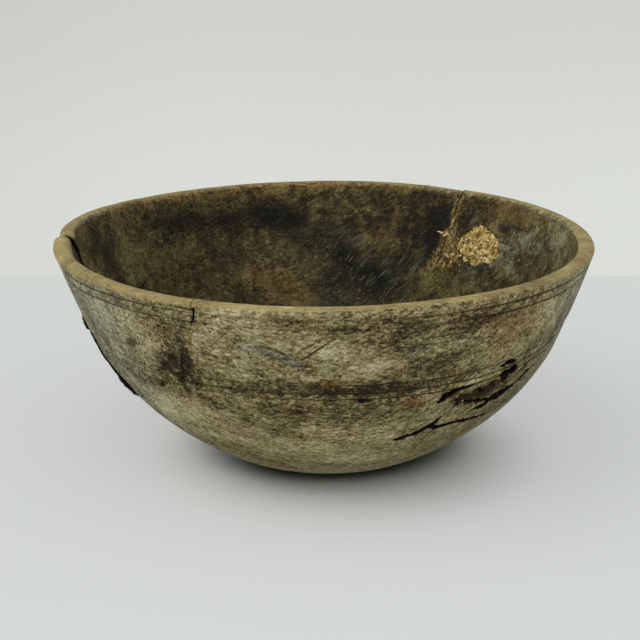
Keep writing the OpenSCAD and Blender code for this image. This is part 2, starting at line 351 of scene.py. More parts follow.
# Rows of azimuth, height, level width, upward width and depth
POCKET = [
    (303.5, 61, 9, 6, 2.4), (307.2, 62, 11, 8, 3), (311, 63.2, 11, 7, 3.2), (315, 64.3, 9, 6, 2.6),
    (305.4, 57.5, 7, 6, 2.2), (309.4, 58.5, 8, 5, 2.4), (300.6, 60.2, 5, 4, 1.6), (314.6, 68.2, 8, 6, 7),
    (317.4, 68.2, 9, 6.5, 7)]
DECAY = [
    (236.2, 84.7, 6, 8, 1.8), (233.4, 79.3, 7, 8, 2.2), (236.4, 73.8, 7, 9, 2.2), (232.4, 70.8, 6, 7, 1.8),
    (237, 66, 5, 6, 1.4), (229.6, 66.6, 5, 6, 1.4), (235, 61.6, 4, 5, 1.2), (231, 75, 5, 6, 1.6)]
KNOTS = [
    (264, 60.5, 5, 4, 1), (270.2, 67.4, 4, 3, 0.9), (277.7, 67.2, 6, 4, 1.1), (272.6, 44.2, 3, 2.5, 0.8),
    (267.6, 58.8, 3, 3, 0.8), (286, 70, 3, 2, 0.7)]
RIM_CHIPS = [
    (16.5, 116.4, 3.4, 3, 0.9), (265, 115, 4, 2.6, 0.8), (52.6, 119.2, 4.5, 4, 1.6),
    (244.9, 116.6, 2.6, 3, 0.8), (222, 115.5, 3, 2, 0.5)]
PATCH = [
    (46.6, 86, 13, 12, 2), (42.6, 85, 14, 12, 2.2), (38.8, 89.5, 12, 12, 2), (47.4, 93.8, 11, 11, 1.8),
    (43.4, 95, 13, 12, 2.2), (39.6, 98, 10, 8, 1.6), (44.4, 90, 16, 14, 2.2)]
# Rows of azimuth, height, width and depth
ROT_HOLES = [(308.8, 60.6, 2.4, 6), (312.6, 62.4, 2, 6), (304.6, 58.6, 1.8, 5)]
# Beetle holes, by azimuth and height
WORM_HOLES = [
    (231.4, 81), (229.9, 73.8), (234.6, 68.4), (238.8, 76.8), (234, 63), (258, 58), (291.5, 69.6),
    (305.2, 75), (281, 36.3), (236.8, 88), (240.4, 71), (228, 70), (294, 58), (250, 70), (273, 83)]
WORM_WIDTH, WORM_DEPTH = 1.5, 5


def cutters():
    """All that is cut from the turned shape."""
    made = [curtain(1, 3, [(46, 1.2), (60, 1.8), (80, 1.5), (100, 1.8), (112, 2.2), (119, 2.4), (124, 2.4)]),
            curtain(2, 5, [(46, 0.25), (60, 0.3), (74, 0.9), (85, 1.1), (93, 0.2)]),
            curtain(2, 5, [(107.4, 0.3), (110, 0.9), (116.6, 0.9), (117.8, 0.35), (124, 0.35)])]
    made += [crack(path, seed=40 + n, jag=0.45) for n, path in enumerate(LOW_CRACKS + SLOTS)]
    made += [crack(path, seed=90 + n, jag=0.5) for n, path in enumerate(HAIRLINES)]
    made.append(crack(FAR_CRACK, INNER, -1, seed=60, jag=0.7))
    made += [crack(path, seed=70 + n, jag=0.15, step=1.4) for n, path in enumerate(MARKS)]
    for n in range(HATCH_COUNT):
        azimuth, z = 264.2 + 0.85 * n, 95.6 + 1.3 * n
        made.append(crack([(azimuth, z, 0.4, 0.5), (azimuth + 2.1, z + 4.4, 0.3, 0.4)], seed=80 + n, jag=0.1))
    made += [blob(*pit, seed=100 + n, rough=0.35) for n, pit in enumerate(POCKET + DECAY + KNOTS + RIM_CHIPS)]
    made += [blob(*pit, INNER, -1, seed=150 + n, rough=0.3) for n, pit in enumerate(PATCH)]
    made += [bore(*hole) for hole in ROT_HOLES]
    made += [bore(*place, WORM_WIDTH, WORM_DEPTH) for place in WORM_HOLES]
    return made


# ---- The bowl ----


def turned_mesh():
    """The whole turned shape, with its columns closer together at the front and the far crack."""
    azimuth = np.linspace(0, 360, 3601)
    density = 1 + 1.0 * smooth(190, 205, azimuth) * smooth(345, 330, azimuth)
    density += 0.8 * smooth(28, 34, azimuth) * smooth(64, 58, azimuth)
    run = np.concatenate([[0], np.cumsum(density[1:])])
    count = 450
    azimuth = np.interp(np.arange(count) / count * run[-1], run, azimuth)
    rows = PROFILE[1:-1]
    grid = polar(rows[:, :1], azimuth, rows[:, 1:]).reshape(-1, 3)
    vertices = np.vstack([grid, [(0, 0, 0)], [(0, 0, FLOOR_T)]])
    j = np.arange(count)
    k = (j + 1) % count
    faces = []
    for i in range(len(rows) - 1):
        a, b = i * count, (i + 1) * count
        faces += np.stack([a + j, a + k, b + k, b + j], -1).tolist()
    under, top = len(grid), len(grid) + 1
    last = (len(rows) - 1) * count
    faces += np.stack([j, 0 * j + under, k], -1).tolist()
    faces += np.stack([last + j, last + k, 0 * j + top], -1).tolist()
    return mesh_object("bowl_wood", vertices, faces)


def combined(body, others, operation):
    """The body after joining the others to it or cutting them from it, one after another."""
    for other in others:
        step = body.modifiers.new(operation, "BOOLEAN")
        step.operation = operation
        step.solver = "MANIFOLD"
        step.object = other
    graph = bpy.context.evaluated_depsgraph_get()
    mesh = bpy.data.meshes.new_from_object(body.evaluated_get(graph))
    body.modifiers.clear()
    body.data = mesh
    for other in others:
        bpy.data.objects.remove(other)
    return body


def carved(body, tools):
    """The body with every cutter taken away."""
    return combined(body, [combined(tools[0], tools[1:], "UNION")], "DIFFERENCE")


def nearest_station(r, z):
    """Distance to the profile, the station there, and the profile's outward normal."""
    a, b = PROFILE[:-1], PROFILE[1:]
    edge = b - a
    length = np.linalg.norm(edge, axis=1)
    depth, station = np.full(len(r), 1e9), np.zeros(len(r))
    normal = np.zeros((len(r), 2))
    facing = np.stack([edge[:, 1], -edge[:, 0]], -1) / length[:, None]
    for i in range(len(a)):
        d = np.stack([r - a[i, 0], z - a[i, 1]], -1)
        t = np.clip(d @ edge[i] / length[i] ** 2, 0, 1)
        gap = np.hypot(d[:, 0] - t * edge[i, 0], d[:, 1] - t * edge[i, 1])
        closer = gap < depth
        depth[closer] = gap[closer]
        station[closer] = STATION[i] + t[closer] * length[i]
        normal[closer] = facing[i]
    return depth, station, normal


# ---- Stains by kind, with a few spots of painted light and shade among them ----
# A spot has azimuth, height, half its level and upward width, tilt in degrees (if any) and strength.

OUTER_SPOTS = dict(
    soft=[(302, 60.6, 6, 5, 5, 1), (306, 61, 8, 6, 5, 1.2), (311, 62.4, 8, 5, 5, 1.2), (235, 76, 12, 13, 1),
        (266, 62, 10, 6, 1), (16.5, 116.4, 6, 6, 1), (265, 115, 6, 4, 1), (222, 115.5, 5, 3, 1)],
    soot=[(241.4, 108, 4, 6, 8, 0.9), (240.4, 99, 4, 6, 10, 0.7), (240.2, 91, 2.4, 7, 10, 1.3),
        (238.4, 85.4, 5, 2.6, -20, 1.5), (234.6, 84, 5.8, 3.4, -10, 2.4), (239.4, 82, 2.2, 4.6, 1.4),
        (233.2, 78, 4.4, 4.4, 2.4), (237, 77.6, 4, 4.4, 2.2), (236.6, 72.4, 2.4, 4, 1),
        (243, 80, 5, 2, -8, 0.7), (229, 78, 5, 2, 0.5), (303, 61, 9, 5, 5, 0.9), (304, 59, 5, 4, 0.9),
        (310, 61, 9, 4, 8, 0.8), (316, 72, 7, 4, 0.9), (236.6, 66, 5, 6, 0.6), (244.3, 112, 2.5, 4, 0.9),
        (224.9, 88.7, 6, 2.6, 20, 1.5), (229, 90, 4, 2, 20, 0.5), (277.4, 69, 3, 2.6, 0.9),
        (256, 62, 3, 1.6, 0.5), (263.6, 60.5, 5, 3, 0.7), (268, 66, 6, 1.6, 0.5), (270, 73, 14, 1.6, 0.5),
        (287, 74, 12, 2, 0.7), (300, 73, 10, 2, 0.6), (252, 70, 12, 2, 0.5), (296, 104, 9, 1.8, 8, 0.7),
        (302, 106, 8, 1.6, 8, 0.7), (297.6, 90.5, 9, 1.2, 10, 0.7), (279, 103, 4, 1.5, 0.7),
        (282, 101, 5, 1.2, 0.5), (312, 62, 16, 4, 6, 0.5), (322, 66, 10, 4, 6, 0.5),
        (305, 45, 14, 3, 3, 0.35), (306, 110, 12, 2, 0.6), (286, 112, 14, 1.6, 0.7),
        (262, 112, 12, 1.4, 0.4), (332, 70, 10, 6, 0.4)],
    # the first three are painted shade: a dark band under the rim at the front
    dark=[(274, 108, 12, 5, 0.6), (288, 108, 14, 5, 0.8), (300, 109, 12, 5, 0.8),
        (236.5, 100, 8, 14, 10, 0.7), (237, 80, 14, 12, 0.8), (241, 66, 9, 7, 0.5), (252, 73, 24, 4, 0.5),
        (275, 73.5, 26, 5, 0.8), (284, 74, 20, 5, 0.6), (298, 76, 16, 5, 5, 0.5), (262, 60, 20, 6, 0.5),
        (278, 58, 16, 5, 0.35), (287, 97, 9, 3, 5, 0.7), (279.5, 101, 9, 4, 0.5), (299, 104, 16, 5, 8, 0.6),
        (290, 84, 12, 5, 5, 0.5), (298, 90, 12, 4, 10, 0.5), (303, 80, 14, 6, 5, 0.3),
        # (316, 60) and (325, 45) are darker wood and painted shade, on the lower right away from the lamp
        (321, 80, 16, 8, 5, 0.5), (331, 90, 12, 16, 0.4), (316, 60, 22, 10, 6, 0.5), (325, 45, 20, 10, 0.5),
        (262, 113, 16, 2.4, 0.5), (284, 113, 16, 2.6, 0.7), (300, 112, 16, 2.6, 0.5), (222, 112, 18, 2, 0.4),
        (346, 81, 13, 4, -14, 1.2), (334, 77, 7, 3, -20, 0.8), (225, 66, 12, 5, 0.35),
        (207, 72, 14, 12, 0.4), (208, 98, 8, 12, 0.25), (214, 55, 10, 8, 0.2), (160, 60, 60, 22, 0.5),
        (90, 80, 70, 16, 0.5), (40, 50, 50, 20, 0.4), (110, 100, 40, 8, 0.4)],
    grey=[(259, 95.4, 7, 2.6, -24, 1), (263.4, 90.8, 7, 2.6, -24, 1.2), (255.4, 99.4, 5, 1.6, -24, 0.6),
        (253, 97, 5, 3, -30, 0.6), (288, 96, 10, 4, 8, 0.7), (281, 60, 10, 5, 0.4), (268, 78, 20, 3, 0.3),
        (215, 96, 16, 16, 0.5), (205, 104, 14, 12, 0.4), (248, 88, 8, 4, 0.4), (300, 98, 14, 4, 8, 0.4),
        (250, 104, 8, 4, -30, 0.4), (345, 80, 14, 5, -10, 1), (120, 96, 50, 16, 0.5), (10, 70, 40, 20, 0.4)],
    warm=[(240.7, 94.7, 3, 4, 1.1), (241, 104, 8, 10, 0.4), (303, 107.4, 8, 5, 0.7), (310, 103, 12, 9, 0.9),
        (318.3, 95, 8, 9, 0.7), (309.3, 91, 12, 5, 0.5), (289.1, 63.4, 6, 4, 1.4), (271, 77.8, 7, 2.4, 1.4),
        (262, 60.8, 6, 4, 0.8), (245, 65, 4, 2, 0.5), (306, 62, 10, 5, 5, 0.9), (313, 66, 8, 4, 5, 0.8),
        (266, 100, 5, 3, 0.3), (298, 80, 10, 4, 0.4), (252, 62, 8, 4, 0.4), (320, 110, 10, 3, 0.6),
        (90, 122, 60, 5, 1), (140, 122, 40, 4, 0.7), (40, 121, 20, 3, 0.5), (302, 119, 14, 4, 0.7),
        (200, 30, 30, 14, 0.4), (70, 60, 24, 20, 0.6), (130, 84, 30, 10, 0.5)],
    # (216, 101) and (226, 100) are paler wood and painted light, on the upper left towards the lamp
    pale=[(216, 101, 15, 13, 0.85), (226, 100, 10, 10, 0.7), (229, 88, 7, 6, 0.4), (251, 117, 12, 3, 0.8),
        (249, 110, 10, 4, 0.5), (254, 90, 10, 5, -15, 0.5), (251, 81, 14, 4, -5, 0.8), (263, 85, 10, 4, 0.4),
        (273, 95.5, 14, 6, 0.8), (279, 87, 16, 5, 0.7), (268, 104, 8, 4, 0.4), (226.8, 46, 16, 9, 1.2),
        (234, 56, 14, 7, -8, 0.8), (231.6, 78.6, 1.4, 1.2, 2), (236, 77.6, 1.8, 1.6, 2.2),
        # (275, 4) is painted light: the lowest ring of the wall, next to the floor, made paler
        (233.8, 72.4, 1.6, 1.2, 2), (236.4, 82.8, 1.4, 1, 1.6), (275, 4, 80, 9, 1.3),
        (240, 52, 14, 5, -5, 0.5), (244, 36, 20, 8, 0.7), (262, 30, 24, 9, 0.6), (284, 40, 20, 8, 0.7),
        (296, 50, 12, 6, 8, 0.4), (297, 98, 12, 5, 8, 0.4), (305, 72, 10, 2, 5, 0.5), (323, 100, 8, 9, 0.5),
        (328, 92, 6, 14, 0.4), (218, 60, 10, 6, -10, 0.3), (311, 50, 12, 3, 5, 0.4), (280, 22, 22, 8, 0.5),
        (170, 100, 30, 12, 0.5), (60, 100, 40, 8, 0.4), (350, 50, 30, 14, 0.4)])

INNER_SPOTS = dict(
    worked=[(78, 66, 26, 20, 1), (66, 60, 20, 14, 0.8), (88, 80, 18, 12, 0.7), (46, 72, 16, 12, 0.5)],
    soft=[(43, 91, 20, 15, 1.5), (52.4, 112, 4, 10, 1.1), (52.6, 119.5, 4, 3, 0.8)],
    tan=[(52.6, 117.5, 4, 4, 1), (52.8, 109, 2.6, 7, 1.1), (52.4, 101, 2.4, 6, 1.1), (53.6, 94, 4, 4, 1.2),
        (53.6, 87, 4, 6, -15, 1.2), (55.4, 80, 4, 6, -20, 1.1), (57, 74, 5, 4, -20, 0.9),
        (50, 82, 6, 4, 20, 0.8), (50.6, 90, 4, 6, 0.6), (60, 70, 6, 2.4, 10, 0.6)],
    warm=[(148, 119, 22, 4, 1.2), (171, 117, 16, 4, 1.2), (126, 119, 24, 5, 1.4), (108, 118, 24, 5, 1.5),
        (90, 119, 20, 4, 1.4), (72, 119, 20, 4, 1.2), (57, 113, 8, 7, 0.8), (117.6, 107, 9, 6, 0.7),
        (104, 107, 6, 5, 0.5), (84, 108, 10, 8, 0.4), (141.5, 75.5, 6, 5, 0.9), (111, 68, 12, 8, 0.7),
        (104.6, 60, 16, 9, 1), (98.6, 52, 16, 8, 0.8), (77, 95, 10, 12, 0.6), (69, 104, 10, 8, 0.6),
        (71, 89, 8, 6, 0.6), (38, 115, 12, 6, 1.4), (31, 112, 10, 5, 1.2), (43, 111, 6, 4, 0.9),
        (22, 117, 12, 3, 0.5), (50, 76, 7, 4, 0.6), (120, 92, 10, 8, 0.4), (250, 60, 40, 30, 0.4),
        (300, 100, 30, 16, 0.4)],
    moss=[(148, 84, 18, 12, 0.9), (139, 86, 12, 8, 0.6), (154, 100, 12, 14, 0.7), (52, 66, 14, 9, 1),
        (57, 74, 9, 7, 0.6), (88, 48, 30, 6, 0.5), (122, 62, 16, 8, 0.4), (44, 68, 14, 8, 0.7),
        (62, 84, 8, 6, 0.4), (30, 80, 14, 14, 0.5), (135, 98, 12, 8, 0.4), (240, 90, 40, 16, 0.5)],
    soot=[(137, 106, 12, 5, 0.7), (128, 104, 12, 6, 0.8), (116, 102, 14, 7, 0.7), (105, 105, 11, 7, 1.2),
        (100, 98, 12, 8, 0.8), (88, 56, 10, 12, 1.1), (84, 78, 10, 9, 1), (88, 94, 9, 9, 0.5),
        (57.5, 104, 8, 8, 1.3), (55.5, 92, 5, 10, 1.2), (57.5, 81, 6, 7, 0.9), (66, 75, 12, 7, 1),
        (70, 60, 16, 9, 0.9), (78, 68, 12, 10, 0.8), (42, 79, 10, 2.2, 1.3), (48, 99, 4, 4, 0.6),
        (118, 80, 12, 10, 0.5), (162, 100, 8, 12, 0.5), (96, 84, 14, 12, 0.5), (47, 108, 5, 5, 0.4),
        (31, 106.4, 9, 1.2, 1.6), (36, 104, 4, 1.2, 20, 1.4), (128, 70, 12, 10, 0.4), (90, 20, 40, 40, 0.5),
        (270, 60, 50, 24, 0.5), (36, 104, 6, 5, 0.4)],
    pale=[(43, 73, 12, 7, 0.5), (33, 88, 14, 12, 0.4), (24, 101, 16, 10, 0.5), (10, 112, 18, 8, 0.9),
        (18, 115, 14, 5, 0.7), (2, 108, 14, 12, 0.7), (80, 74, 14, 12, 0.35), (94, 70, 10, 8, 0.3),
        (62, 68, 12, 10, 0.3), (350, 100, 24, 16, 0.6), (325, 90, 20, 20, 0.4)],
    grey=[(48, 108, 6, 5, 1), (33, 88, 18, 12, 0.7), (24, 100, 18, 12, 0.6), (96, 92, 12, 12, 0.4),
        (84, 88, 12, 12, 0.6), (70, 68, 20, 12, 0.5), (43, 74, 12, 8, 0.6), (10, 108, 20, 14, 0.5)],
    dark=[(120, 100, 30, 12, 0.5), (60, 92, 16, 16, 0.7), (75, 64, 30, 14, 0.7), (132, 104, 20, 8, 0.4),
        (100, 100, 16, 12, 0.5), (165, 95, 12, 20, 0.4), (90, 85, 20, 14, 0.3)])


def azimuth_of(points):
    return np.degrees(np.arctan2(points[:, 1], points[:, 0])) % 360


def turned_by(azimuth, at):
    """How far an azimuth lies from another one, in degrees."""
    return (azimuth - at + 180) % 360 - 180


def spots_field(azimuth, z, curve, spots):
    """Sum of soft spots on one side of the wall. Where a spot gives no tilt, it has none."""
    field = np.zeros(len(azimuth))
    r = radius_at(curve, z)
    for at, height, wide, tall, *tilt, strength in spots:
        u = np.radians(turned_by(azimuth, at)) * r
        v = (z - height) * 1.1
        a = math.radians(tilt[0]) if tilt else 0.0
        c, d = math.cos(a), math.sin(a)
        u, v = (c * u + d * v) / wide, (c * v - d * u) / tall
        field += strength * np.exp(-(u * u + v * v))
    return field


def wave(azimuth, at, wide):
    """A soft hump of height 1 about an azimuth."""
    return np.exp(-((turned_by(azimuth, at) / wide) ** 2))


def warped(points):
    """Old wood warps: the rim is no longer level and the foot has crept sideways."""
    p = points.copy()
    azimuth = azimuth_of(p)
    share = p[:, 2] / HEIGHT
    p[:, 2] -= smooth(0.25, 1, share) * (0.9 * wave(azimuth, 112, 35) - 0.2 * wave(azimuth, 68, 30))
    p[:, 2] -= 0.8 * (azimuth > 52.4) * smooth(64, 53, azimuth) * smooth(0.9, 0.98, share)
    p[:, 2] += smooth(0.5, 1, share) * 1.5 * wave(azimuth, 166, 22)
    p[:, 0] += 2.4 * (1 - share) + smooth(0.05, 0.3, share) * 0.8 * wave(azimuth, 345, 45)
    in_front = azimuth > wedge_edge(points[:, 2], 1, 3)
    drawn_in = -1.7 * wave(azimuth, 208, 28)
    behind_it = 1.4 * wave(azimuth, 165, 22) - 2.0 * smooth(172, 181, azimuth) * smooth(186, 184, azimuth)
    p[:, 0] -= smooth(0.5, 1, share) * np.where(in_front, drawn_in, behind_it)
    p[:, 2] = np.maximum(p[:, 2], 0)
    return p


# ---- Shaping: wear, the sprung wedge and the warp ----


def store(mesh, name, values):
    kept = mesh.attributes.new(name, "FLOAT", "POINT")
    kept.data.foreach_set("value", np.ascontiguousarray(values, dtype=np.float32))


PATCH_MIDDLE = (42.8, 90.5)       # azimuth and height of the torn patch


def store_stains(mesh, azimuth, z, inside):
    """Keeps each kind of stain as an attribute, by side of the wall, with the torn and end-grain wood."""
    for kind in ("soot", "dark", "grey", "warm", "pale", "moss", "soft", "worked", "tan"):
        outer = spots_field(azimuth, z, OUTER, OUTER_SPOTS.get(kind, []))
        inner = spots_field(azimuth, z, INNER, INNER_SPOTS.get(kind, []))
        store(mesh, kind, outer * (1 - inside) + inner * inside)
    patch_azimuth, patch_z = PATCH_MIDDLE
    wall = [np.radians(turned_by(azimuth, patch_azimuth)) * 129, (z - patch_z) * 1.08]
    edge = 1 + 0.35 * noise(np.stack([*wall, 0 * z], -1), 7, 5, 2)
    torn = smooth(1.12, 0.86, np.hypot(wall[0] / 15.5, wall[1] / 11) / edge)
    store(mesh, "torn", torn * inside)
    end_grain = smooth(236, 214, azimuth) * smooth(150, 180, azimuth) + smooth(316, 336, azimuth)
    store(mesh, "end_grain", np.clip(end_grain + smooth(30, 0, azimuth), 0, 1))


def near_line(z, height):
    """1 in the middle of a turned line and 0 beside it."""
    return np.clip(1 - np.abs(z - height) / (LINE_W / 2), 0, 1)


def line_wear(azimuth, z):
    """How deep the turned lines still are, as a share. They are worn unevenly."""
    return np.clip(0.75 + 0.5 * noise(polar(WALL_R, azimuth, z), 26, 11, 2), 0.2, 1.1)


def surface_sunk(points, azimuth, z, depth, outside, line_depth):
    """How far each point lies under the plain turned surface."""
    sunk = np.zeros(len(points))
    for height in BAND_LINES + RIM_LINES:
        sunk += near_line(z, height) * line_depth * (outside > 0.5) * (depth < 0.05)
    # the hand-worked surface
    sunk += 0.35 * noise(points, 70, 21) * smooth(0, 20, z)
    sunk += 0.16 * noise(points * [1, 1, 1.6], 16, 22, 2)
    sunk += 0.10 * noise(points, 4.5, 23, 2)
    # rough wood round the decay and the pocket
    rough = spots_field(azimuth, z, OUTER, [(235, 74, 16, 14, 0, 1), (310, 61, 22, 7, 6, 1)]) * outside
    sunk += 0.5 * rough * (noise(points, 5, 24, 2) + 0.3)
    # the ledge under the band of lines
    under_band = BAND_LINES[-1] - z
    ledge = 0.5 + 0.7 * smooth(315, 340, azimuth)
    fading = np.exp(-np.maximum(under_band, 0) / LEDGE_FADE)
    return sunk + ledge * outside * smooth(-0.2, 0.6, under_band) * fading


def band_rise(azimuth, z, outside):
    """How far the band of lines climbs towards the right side."""
    past_right = np.where(azimuth < 60, azimuth + 360, azimuth)
    rise = 3.6 * smooth(296, 336, past_right) + 9 * smooth(332, 350, past_right)
    return rise * smooth(400, 356, past_right) * outside * smooth(20, 68, z) * smooth(108, 84, z)


def wedge_lean(azimuth, z):
    """How far the sprung wedge stands out at the rim, and in at its tip."""
    in_wedge = (azimuth > wedge_edge(z, 1, 3)) & (azimuth < wedge_edge(z, 2, 5)) & (z > TIP_Z)
    swing = 0.5 + 0.7 * smooth(244, 182, azimuth)
    lean = swing * math.tan(math.radians(WEDGE_LEAN)) * (z - PIVOT_SHARE * HEIGHT)
    return in_wedge * smooth(TIP_Z, TIP_Z + 5, z) * lean


def wall_behind(points, behind, z, outside):
    """How far the wall behind the wedge's lower left edge stands proud of it."""
    push = (behind <= 0) * np.exp(-((behind / 6) ** 2)) * outside
    push = push * (0.8 + 1.3 * smooth(53, 51, z) + 0.5 * smooth(75, 80, z))
    return push * smooth(43, 45.5, z) * smooth(84, 81, z) * (1 + 0.7 * noise(points, 2.2, 26, 2))


def lip_gap_shade(points, behind, azimuth, z, outside):
    """Where that wall is painted near black: dark broken wood, and painted shade of the gap behind the wedge.
    """
    ragged = 5 * noise(points, 7, 27, 2)
    reach = smooth(187, 196, azimuth + ragged)
    return (behind <= 0.5) * reach * outside * smooth(41, 47, z + ragged) * smooth(86, 80, z + ragged)


def groove_shade(azimuth, z, rise, line_depth, outside):
    """How dark the turned lines are. They fade at the front."""
    groove = sum(near_line(z - rise, height) for height in BAND_LINES + RIM_LINES)
    band_faded = 0.5 * wave(azimuth, 228, 26) + 0.4 * wave(azimuth, 258, 14)
    faded = np.where(z > 95, 0.9 * wave(azimuth, 266, 30), band_faded)
    return groove * (1 - faded) * smooth(0.1, 0.5, line_depth) * (outside > 0.5)


def rim_mask(azimuth, station):
    """The rim's pale wood. It starts higher at the front and ends sooner at the far side."""
    start = OUTER_END - 1.5 + 2.2 * wave(azimuth, 285, 40)
    near_side = smooth(0.3, -0.3, np.sin(np.radians(azimuth)))
    end = INNER_START - 4.5 + 4.5 * near_side + 6 * wave(azimuth, 192, 9)
    return smooth(start, start + 3, station) * smooth(end + 3, end - 1, station)


def shape_bowl():
    body = carved(turned_mesh(), cutters())
    mesh = body.data
    p = np.empty(len(mesh.vertices) * 3)
    mesh.vertices.foreach_get("co", p)
    p = p.reshape(-1, 3) / MM
    azimuth, z = azimuth_of(p), p[:, 2].copy()
    r = np.hypot(p[:, 0], p[:, 1])
    depth, station, normal = nearest_station(r, z)
    outside = smooth(OUTER_END + 9, OUTER_END + 5, station)
    inside = smooth(INNER_START - 4.5, INNER_START + 1.5, station)

    line_depth = line_wear(azimuth, z)
    sunk = surface_sunk(p, azimuth, z, depth, outside, line_depth)
    rise = band_rise(azimuth, z, outside)
    r = r + radius_at(OUTER, z + rise) - radius_at(OUTER, z)
    z = z + rise
    p = polar(r - sunk * normal[:, 0], azimuth, z - sunk * normal[:, 1])
    p = p + polar(wedge_lean(azimuth, z), azimuth, 0)
    behind = turned_by(azimuth, wedge_edge(z, 1, 3))
    p = p + polar(wall_behind(p, behind, z, outside), azimuth, 0)
    lip = lip_gap_shade(p, behind, azimuth, z, outside)
    mesh.vertices.foreach_set("co", (warped(p) * MM).ravel())
    mesh.update()

    store_stains(mesh, azimuth, z, inside)
    store(mesh, "groove", groove_shade(azimuth, z, rise, line_depth, outside))
    store(mesh, "rim", rim_mask(azimuth, station))
    store(mesh, "inside", inside)
    store(mesh, "bare_wood_and_crack_shade", np.clip(depth / RAW_DEPTH, 0, 1))
    store(mesh, "lip_gap_shade", lip)
    turned = mesh.attributes.new("turned", "FLOAT_VECTOR", "POINT")
    turned.data.foreach_set("vector", polar(WALL_R, azimuth, station).ravel())
    return body


# ---- Materials ----


def rgb(red, green, blue):
    """A display colour from 0 to 255, as the shader's linear colour."""
    values = np.array([red, green, blue]) / 255
    linear = np.where(values <= 0.04045, values / 12.92, ((values + 0.055) / 1.055) ** 2.4)
    return (*linear.tolist(), 1.0)


SHINE = 0.14                      # specular level of the wood and the paper
# Places of the colour sockets on a mix node, whose names its other sockets share
COLOUR_A, COLOUR_B, COLOUR_RESULT = 6, 7, 2


class Graph:
    """Short names for the nodes of one material. A dict says what goes into a node's sockets."""

    def __init__(self, name):
        self.material = bpy.data.materials.new(name)
        self.material.use_nodes = True
        self.tree = self.material.node_tree
        self.shader = self.tree.nodes["Principled BSDF"]
        self.noises, self.stains = {}, {}

    def put(self, node, sockets):
        for place, value in sockets.items():
            if isinstance(value, bpy.types.NodeSocket):
                self.tree.links.new(value, node.inputs[place])
            else:
                node.inputs[place].default_value = value

    def node(self, kind, sockets=None, **settings):
        made = self.tree.nodes.new("ShaderNode" + kind)
        for name, value in settings.items():
            setattr(made, name, value)
        self.put(made, sockets or {})
        return made

    def math(self, operation, a, b=0.0, clamp=False):
        return self.node("Math", {0: a, 1: b}, operation=operation, use_clamp=clamp).outputs[0]

    def add(self, *values):
        total = values[0]
        for value in values[1:]:
            total = self.math("ADD", total, value)
        return total

    def times(self, a, b):
        return self.math("MULTIPLY", a, b)

    def swing(self, value, gain):
        """A noise value moved to swing about zero."""
        return self.times(self.math("SUBTRACT", value, 0.5), gain)

    def step(self, value, low, high):
        sockets = {"Value": value, "From Min": low, "From Max": high}
        return self.node("MapRange", sockets, interpolation_type="SMOOTHSTEP").outputs[0]

    def attribute(self, name, output="Fac"):
        return self.node("Attribute", attribute_name=name).outputs[output]

    def object_mm(self):
        """Object coordinates in millimetres."""
        place = self.node("TexCoord").outputs["Object"]
        return self.node("VectorMath", {0: place, "Scale": 1 / MM}, operation="SCALE").outputs[0]

    def stretched(self, vector, scale, turn=(0, 0, 0)):
        sockets = {"Vector": vector, "Rotation": tuple(math.radians(a) for a in turn), "Scale": scale}
        return self.node("Mapping", sockets, vector_type="TEXTURE").outputs[0]

    def noise(self, vector, size, detail=4.0, rough=0.6, warp=0.0):
        return self.node("TexNoise", {
            "Vector": vector, "Scale": 1 / size, "Detail": detail, "Roughness": rough, "Distortion": warp,
        }).outputs[0]

    def flecks(self, vector, size, reach, share):
        """Small round flecks, one in a share of the cells of a size."""
        cells = self.node("TexVoronoi", {"Vector": vector, "Scale": 1 / size})
        red = self.node("SeparateColor", {0: cells.outputs["Color"]}).outputs[0]
        chosen = self.step(red, 1 - share, 1 - share + 0.02)
        return self.times(chosen, self.step(cells.outputs["Distance"], reach, reach * 0.5))

    def mix(self, share, a, b, blend="MIX"):
        sockets = {0: share, COLOUR_A: a, COLOUR_B: b}
        return self.node("Mix", sockets, data_type="RGBA", blend_type=blend).outputs[COLOUR_RESULT]

    def ramp(self, value, *stops):
        """Colours along a value. A stop has its place and a display colour from 0 to 255."""
        made = self.node("ValToRGB", {0: value})
        elements = made.color_ramp.elements
        while len(elements) < len(stops):
            elements.new(0.5)
        for element, (place, *colour) in zip(elements, stops):
            element.position = place
            element.color = rgb(*colour)
        return made.outputs[0]

    def tone(self, base, **gains):
        """The base with the graph's noises added, each by its gain."""
        return self.add(base, *(self.swing(self.noises[name], gain) for name, gain in gains.items()))

    def edge(self, name, low, high, **gains):
        """0 to 1 where an attribute passes from low to high, with its edge broken by the noises."""
        return self.step(self.add(self.attribute(name), self.tone(0.0, **gains)), low, high)

    def stained(self, colour, share, **shades):
        """The colour with shades mixed in where the graph's stains of their kinds are."""
        for kind, shade in shades.items():
            colour = self.mix(self.times(self.stains[kind], share), colour, shade)
        return colour

    def finish(self, colour, roughness, height):
        """The material, with a bump whose height is in metres."""
        bump = self.node("Bump", {"Strength": 1.0, "Distance": 1.0, "Height": height}).outputs[0]
        self.put(self.shader, {
            "Base Color": colour, "Roughness": roughness, "Normal": bump, "Specular IOR Level": SHINE})
        return self.material


